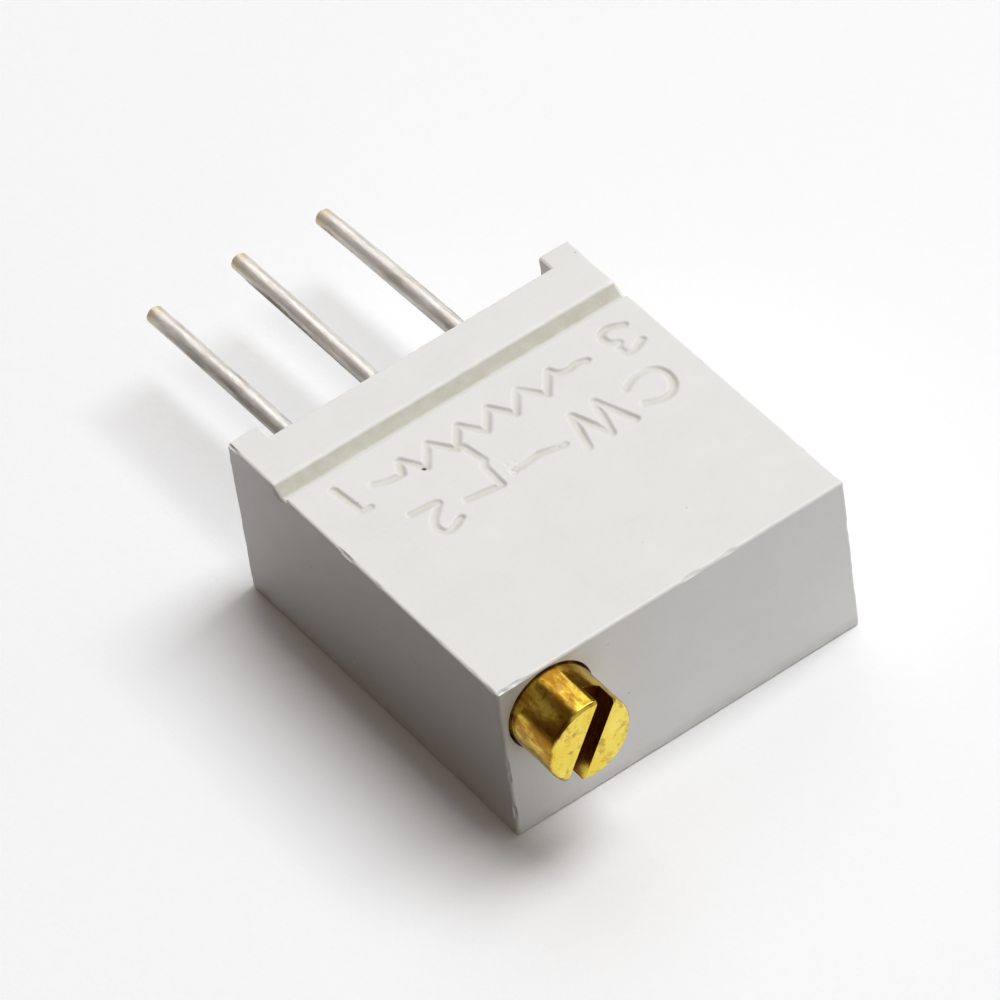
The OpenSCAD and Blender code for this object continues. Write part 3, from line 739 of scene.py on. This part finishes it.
def rounded_line(line):
    """The line with its corners cut twice, which makes it a smooth curve with the same ends."""
    points = [Vector(p) for p in line]
    for _ in range(CORNER_CUTS):
        cut = [points[0]]
        for a, b in zip(points[:-1], points[1:]):
            cut += [a.lerp(b, 0.25), a.lerp(b, 0.75)]
        points = [*cut, points[-1]]
    return points


def stroke_depth(points):
    """How far each point is sunk into a stroke, from 0 on the face to 1 on a stroke's floor."""
    nearest = np.full(len(points), np.inf)
    steep = np.zeros(len(points))
    for start, end in stroke_lines():
        along = end - start
        share = np.clip((points - start) @ along / (along @ along), 0, 1)
        away = points - start - share[:, None] * along
        gap = np.linalg.norm(away, axis=1)
        closer = gap < nearest
        nearest[closer] = gap[closer]
        steep[closer] = (away[closer] @ STEEP_SIDE) / np.maximum(gap[closer], PLANE_GAP)
    turn = np.clip(0.5 + STEEP_TURN * steep, 0, 1)
    wall = STROKE_GENTLE + (STROKE_STEEP - STROKE_GENTLE) * turn
    share = np.clip((STROKE_HALF - nearest) / wall, 0, 1)
    return share * share * (3 - 2 * share)


def uneven_depth(x, y):
    """How deep the strokes are cut at a point, as a share of their full depth."""
    return UNEVEN_MIDDLE + UNEVEN_SWING * noise.noise(Vector((x, y, 0)) / UNEVEN_GRAIN)


def add_marked_face(bm, top):
    """Closes the marked face with a fine mesh that carries the marks. Returns the plain faces around it."""
    count = np.ceil(MARKED_SIZE / MARK_CELL).astype(int)
    xs = MARKED_CORNER[0] + MARKED_SIZE[0] * np.arange(count[0] + 1) / count[0]
    ys = MARKED_CORNER[1] + MARKED_SIZE[1] * np.arange(count[1] + 1) / count[1]
    grid_x, grid_y = np.meshgrid(xs, ys)
    points = np.column_stack((grid_x.ravel(), grid_y.ravel()))
    uneven = np.array([uneven_depth(x, y) for x, y in points])
    sunk = stroke_depth(points) * np.clip(uneven, UNEVEN_LEAST, 1.0)
    wear_and_highlight = bm.verts.layers.float["wear_and_highlight"]
    mark_dirt_and_shade = bm.verts.layers.float.new("mark_dirt_and_shade")
    grain = bm.verts.layers.float.new("grain")
    verts = []
    for point, depth in zip(points, sunk):
        vert = bm.verts.new((point[0], point[1], top - STROKE_DEPTH * depth))
        vert[mark_dirt_and_shade] = STROKE_DIRT_AND_SHADE * depth
        away = (Vector(point) - GRAIN_AT).length
        vert[grain] = clamped(GRAIN_EDGE - GRAIN_EDGE * away / GRAIN_R)
        rub = max(0.0, 1.0 - (Vector(point) - SCUFF_AT).length / SCUFF_R)
        patch = noise.noise(Vector((*point, 0)) / SCUFF_GRAIN)
        vert[wear_and_highlight] = clamped(SCUFF_STRENGTH * rub * patch)
        vert.co.z -= SCUFF_DEPTH * vert[wear_and_highlight]
        verts.append(vert)
    columns = len(xs)
    for j in range(len(ys) - 1):
        for i in range(columns - 1):
            k = j * columns + i
            bm.faces.new((verts[k], verts[k + 1], verts[k + columns + 1], verts[k + columns]))
    rim = [e for e in bm.edges if len(e.link_faces) == 1]
    made = bmesh.ops.triangle_fill(bm, edges=rim, use_beauty=True, use_dissolve=False)
    fill = [f for f in made["geom"] if isinstance(f, bmesh.types.BMFace)]
    for face in fill:
        face.normal_update()
        if face.normal.z < 0:
            face.normal_flip()
    return fill


def mark_screw(bm):
    """Notes how deep each point lies in the driver slot, and which points are on the head's round side."""
    low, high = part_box("adjustment_screw")
    axis = (low + high) / 2
    across = Vector((math.cos(SLOT_LEAN), 0.0, -math.sin(SLOT_LEAN)))
    slot = bm.verts.layers.float.new("slot")
    side = bm.verts.layers.float.new("side")
    head_r = (high.x - low.x) / 2
    for vert in bm.verts:
        away = vert.co - axis
        depth = vert.co.y - low.y
        between = abs(away.dot(across)) < SLOT_HALF + SLOT_SLACK_ACROSS
        if between and depth < SLOT_DEPTH + SLOT_SLACK_DOWN:
            vert[slot] = clamped(SLOT_DARKENING * depth / SLOT_DEPTH)
        if math.hypot(away.x, away.z) > head_r - SIDE_BAND and depth > SIDE_START:
            vert[side] = 1.0


def build_screw(material):
    """The brass screw with its outer edges broken."""
    bm = welded_copy("adjustment_screw")
    head_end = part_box("housing")[0].y - HEAD_CLEAR
    edges = [e for e in bm.edges if is_outer_edge(e) and all(v.co.y < head_end for v in e.verts)]
    round_edges(bm, edges, HEAD_BREAK, HEAD_BREAK_SEGMENTS)
    mark_screw(bm)
    smooth_but_sharp(bm, SCREW_SHARP)
    weigh_normals(new_piece("brass_screw", bm, material, "screw", "adjustment_screw"))


def build_terminal(number, material):
    """A tinned wire: the CAD form with a slightly uneven coat, a bare tip and a small bend."""
    node = f"terminal_pin_{number}"
    bm = welded_copy(node)
    low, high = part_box(node)
    middle = (low + high) / 2
    long_edges = [e for e in bm.edges if e.calc_length() > WIRE_EDGE]
    bmesh.ops.subdivide_edges(bm, edges=long_edges, cuts=WIRE_CUTS, use_grid_fill=True)
    tip = bm.verts.layers.float.new("tip")
    wire_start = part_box("housing")[1].y
    apart = Vector((number * COAT_APART, 0, 0))
    for vert in bm.verts:
        if vert.co.y < wire_start:
            continue
        radial = Vector((vert.co.x - middle.x, 0.0, vert.co.z - middle.z))
        place = Vector((vert.co.x / MM, vert.co.y / MM * COAT_DRAWN, vert.co.z / MM)) * COAT_GRAIN
        vert.co += radial * (COAT_SWING * noise.noise(place + apart) - COAT_LESS)
        reach = (vert.co.y - wire_start) / (high.y - wire_start)
        vert.co += TIP_BENDS[number - 1] * reach * reach
        vert[tip] = max(0.0, 1.0 - (high.y - vert.co.y) / BARE_TIP)
    smooth_but_sharp(bm, WIRE_SHARP)
    new_piece(f"terminal_wire_{number}", bm, material, "body", node)


def dress_cad(name, material):
    """A CAD node whose shape stays gets its material."""
    mesh = nodes[name].data
    mesh.materials.clear()
    mesh.materials.append(material)


def add_floor():
    bm = bmesh.new()
    bmesh.ops.create_grid(bm, x_segments=FLOOR_CELLS, y_segments=FLOOR_CELLS, size=FLOOR_HALF)
    mesh = bpy.data.meshes.new("floor")
    bm.to_mesh(mesh)
    bm.free()
    floor = bpy.data.objects.new("floor", mesh)
    bpy.context.scene.collection.objects.link(floor)
    floor.location.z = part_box("housing")[0].z - FLOOR_GAP
    mesh.materials.append(paper_floor())


def add_camera():
    a, e, r = (math.radians(v) for v in (CAMERA_AZIMUTH, CAMERA_ELEVATION, CAMERA_ROLL))
    back = Vector((math.sin(a) * math.cos(e), -math.cos(a) * math.cos(e), math.sin(e)))
    right = (-back).cross(Vector((0, 0, 1))).normalized()
    up = back.cross(right)
    rolled_right = right * math.cos(r) + up * math.sin(r)
    rolled_up = up * math.cos(r) - right * math.sin(r)
    data = bpy.data.cameras.new("camera")
    data.sensor_width = SENSOR
    data.lens = SENSOR * CAMERA_FOCAL
    data.clip_start = CAMERA_NEAR
    data.clip_end = CAMERA_FAR
    camera = bpy.data.objects.new("camera", data)
    turn = Matrix((rolled_right, rolled_up, back)).transposed().to_4x4()
    camera.matrix_world = Matrix.Translation(CAMERA_TARGET + back * CAMERA_DISTANCE) @ turn
    bpy.context.scene.collection.objects.link(camera)
    bpy.context.scene.camera = camera


def add_sun(name, energy, angle, toward):
    data = bpy.data.lights.new(name, "SUN")
    data.energy = energy
    data.angle = math.radians(angle)
    lamp = bpy.data.objects.new(name, data)
    lamp.rotation_mode = "QUATERNION"
    lamp.rotation_quaternion = Vector(toward).to_track_quat("Z", "Y")
    bpy.context.scene.collection.objects.link(lamp)


def add_strip(name):
    """A long lamp that runs from right to left over the part, so that its shadow falls to the left."""
    across = STRIP_TOWARD.cross(Vector((1.0, 0.0, 0.0))).normalized()
    data = bpy.data.lights.new(name, "AREA")
    data.shape = "RECTANGLE"
    data.energy = STRIP_WATTS
    data.size = 2.0 * STRIP_DISTANCE * math.tan(STRIP_SPREAD / 2.0)
    data.size_y = 2.0 * STRIP_DISTANCE * math.tan(STRIP_NARROW / 2.0)
    lamp = bpy.data.objects.new(name, data)
    turn = Matrix((across.cross(STRIP_TOWARD), across, STRIP_TOWARD)).transposed().to_4x4()
    lamp.matrix_world = Matrix.Translation(STRIP_TOWARD * STRIP_DISTANCE) @ turn
    bpy.context.scene.collection.objects.link(lamp)


def add_lights():
    add_strip("key")
    for name, (energy, angle, toward) in SUNS.items():
        add_sun(name, energy, angle, toward)
    world = bpy.data.worlds.new("studio")
    bpy.context.scene.world = world
    world.use_nodes = True
    tree = world.node_tree
    tree.nodes.clear()
    out = tree.nodes.new("ShaderNodeOutputWorld")
    room = tree.nodes.new("ShaderNodeBackground")
    room.inputs["Color"].default_value = WORLD_COLOUR
    room.inputs["Strength"].default_value = WORLD_STRENGTH
    tree.links.new(room.outputs["Background"], out.inputs["Surface"])


build_housing(housing_plastic())
build_screw(screw_brass())
wire = tinned_wire()
pads = printed("conductor_print", (0.62, 0.62, 0.6), (0.76, 0.76, 0.74), 1.0)
solder = solder_alloy()
for number in (1, 2, 3):
    build_terminal(number, wire)
    dress_cad(f"conductor_pad_{number}", pads)
    dress_cad(f"solder_joint_{number}", solder)
dress_cad("collector_ring", pads)
dress_cad("resistive_track", printed("track_cermet", (0.05, 0.05, 0.055), (0.11, 0.11, 0.115), 0.0))
dress_cad("o_ring", seal_rubber())
dress_cad("screw_retainer", clip_steel())
dress_cad("drive_gear", moulded("gear_plastic", (0.8, 0.78, 0.69), (0.87, 0.85, 0.78)))
dress_cad("rotor_hub", moulded("hub_plastic", (0.74, 0.68, 0.53), (0.83, 0.78, 0.65)))
dress_cad("wiper_contact", spring_alloy())
dress_cad("ceramic_substrate", plate_ceramic())
dress_cad("back_seal", seal_epoxy())
add_floor()
add_lights()
add_camera()
bpy.context.scene.view_settings.view_transform = "Standard"
